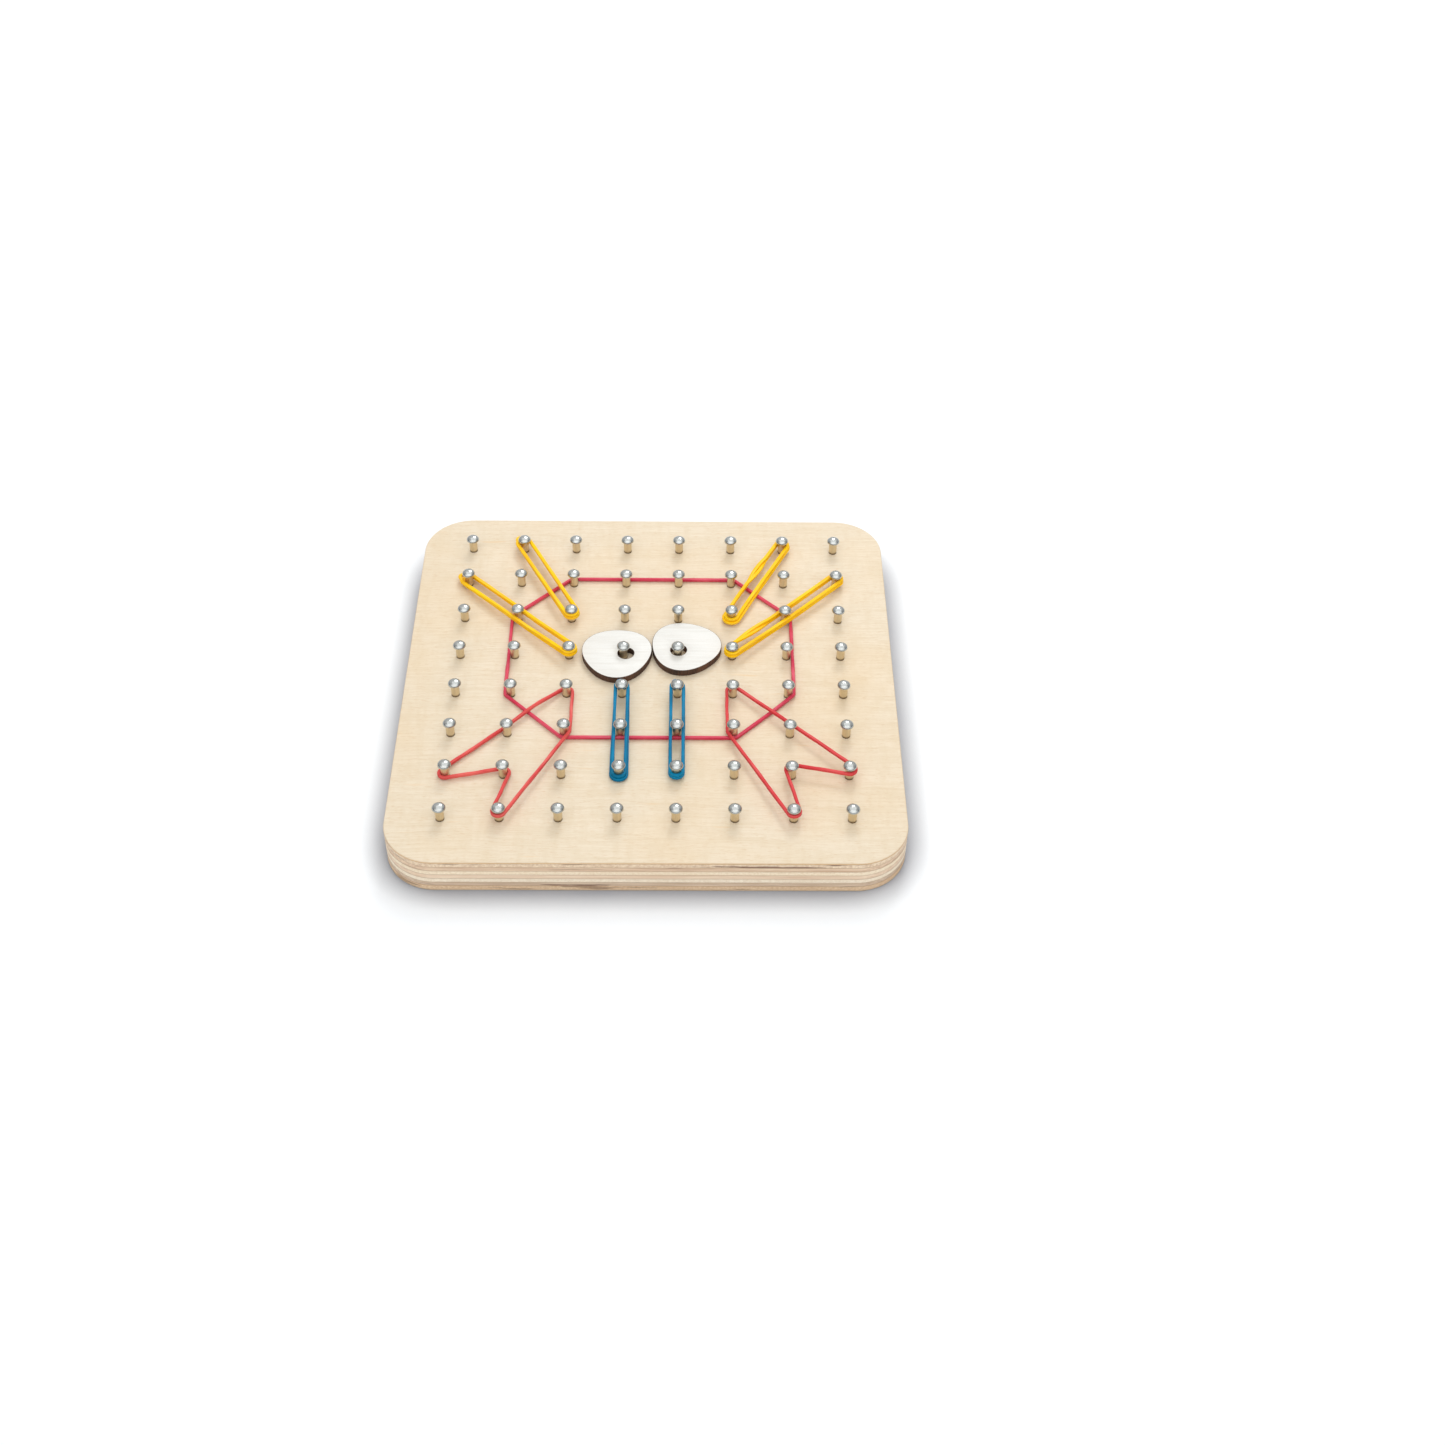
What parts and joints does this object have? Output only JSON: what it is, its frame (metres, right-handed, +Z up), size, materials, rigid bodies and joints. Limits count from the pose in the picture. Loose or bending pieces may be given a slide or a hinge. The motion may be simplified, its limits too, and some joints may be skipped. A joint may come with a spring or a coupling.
{
  "type": "geoboard",
  "caption": "Square plywood geoboard with a grid of domed nails, coloured rubber bands stretched round them in a crab outline, and lift-off eye discs.",
  "frame": {"origin": "middle of the board's underside", "axes": "+Z up out of the board's pin face; +X to the right along the pin rows; -Y towards the front edge, with row 1 at the back"},
  "size_m": [0.178, 0.178, 0.0213],
  "materials": {
    "face_veneer": "sanded pale basswood veneer, clear matt",
    "brown_ply": "cut edge grain, clear matt",
    "dark_ply": "cut end grain, clear matt",
    "cream_ply": "cut edge grain, clear matt",
    "grey_ply": "cut end grain, clear matt",
    "orange_ply": "cut edge grain, clear matt",
    "pin_nickel": "bright nickel plate",
    "crimson_rubber": "satin natural rubber",
    "coral_rubber": "satin natural rubber",
    "red_rubber": "satin natural rubber",
    "yellow_rubber": "satin natural rubber",
    "blue_rubber": "satin natural rubber",
    "white_paint": "white printed face, laser-charred edge"
  },
  "bodies": {
    "board": {"face_veneer_top": "face_veneer", "core_ply_1": "brown_ply", "core_ply_2": "dark_ply", "core_ply_3": "cream_ply", "core_ply_4": "brown_ply", "core_ply_5": "cream_ply", "core_ply_6": "grey_ply", "core_ply_7": "orange_ply", "face_veneer_bottom": "face_veneer", "pin_row_1": "pin_nickel", "pin_row_2": "pin_nickel", "pin_row_3": "pin_nickel", "pin_row_4": "pin_nickel", "pin_row_5": "pin_nickel", "pin_row_6": "pin_nickel", "pin_row_7": "pin_nickel", "pin_row_8": "pin_nickel"},
    "body_band": {"body_band": "crimson_rubber"},
    "claw_band_left": {"claw_band_left": "coral_rubber"},
    "claw_band_right": {"claw_band_right": "red_rubber"},
    "leg_band_left_upper": {"leg_band_left_upper": "yellow_rubber"},
    "leg_band_left_lower": {"leg_band_left_lower": "yellow_rubber"},
    "leg_band_right_upper": {"leg_band_right_upper": "yellow_rubber"},
    "leg_band_right_lower": {"leg_band_right_lower": "yellow_rubber"},
    "mouth_band_left": {"mouth_band_left": "blue_rubber"},
    "mouth_band_right": {"mouth_band_right": "blue_rubber"},
    "eye_disc_left": {"eye_disc_left": "white_paint"},
    "eye_disc_right": {"eye_disc_right": "white_paint"}
  },
  "joints": [
    {"name": "body_band_slide", "type": "slide", "parent": "board", "child": "body_band", "axis": [0, 0, 1], "range_m": [-0.00015, 0]},
    {"name": "claw_band_left_slide", "type": "slide", "parent": "board", "child": "claw_band_left", "axis": [0, 0, 1], "range_m": [0, 0.0004]},
    {"name": "claw_band_right_slide", "type": "slide", "parent": "board", "child": "claw_band_right", "axis": [0, 0, 1], "range_m": [0, 0.00025]},
    {"name": "leg_band_left_upper_slide", "type": "slide", "parent": "board", "child": "leg_band_left_upper", "axis": [0, 0, 1], "range_m": [0, 0.0002]},
    {"name": "leg_band_left_lower_slide", "type": "slide", "parent": "board", "child": "leg_band_left_lower", "axis": [0, 0, 1], "range_m": [0, 0.0002]},
    {"name": "leg_band_right_upper_slide", "type": "slide", "parent": "board", "child": "leg_band_right_upper", "axis": [0, 0, 1], "range_m": [0, 0.0002]},
    {"name": "leg_band_right_lower_slide", "type": "slide", "parent": "board", "child": "leg_band_right_lower", "axis": [0, 0, 1], "range_m": [0, 0.0002]},
    {"name": "mouth_band_left_slide", "type": "slide", "parent": "board", "child": "mouth_band_left", "axis": [0, 0, 1], "range_m": [0, 0.0002]},
    {"name": "mouth_band_right_slide", "type": "slide", "parent": "board", "child": "mouth_band_right", "axis": [0, 0, 1], "range_m": [0, 0.0002]},
    {"name": "eye_disc_left_lift", "type": "slide", "parent": "board", "child": "eye_disc_left", "axis": [-0.2215, 0.2166, 0.9508], "range_m": [0, 0.012]},
    {"name": "eye_disc_right_lift", "type": "slide", "parent": "board", "child": "eye_disc_right", "axis": [-0.064, -0.2264, 0.9719], "range_m": [0, 0.012]}
  ]
}
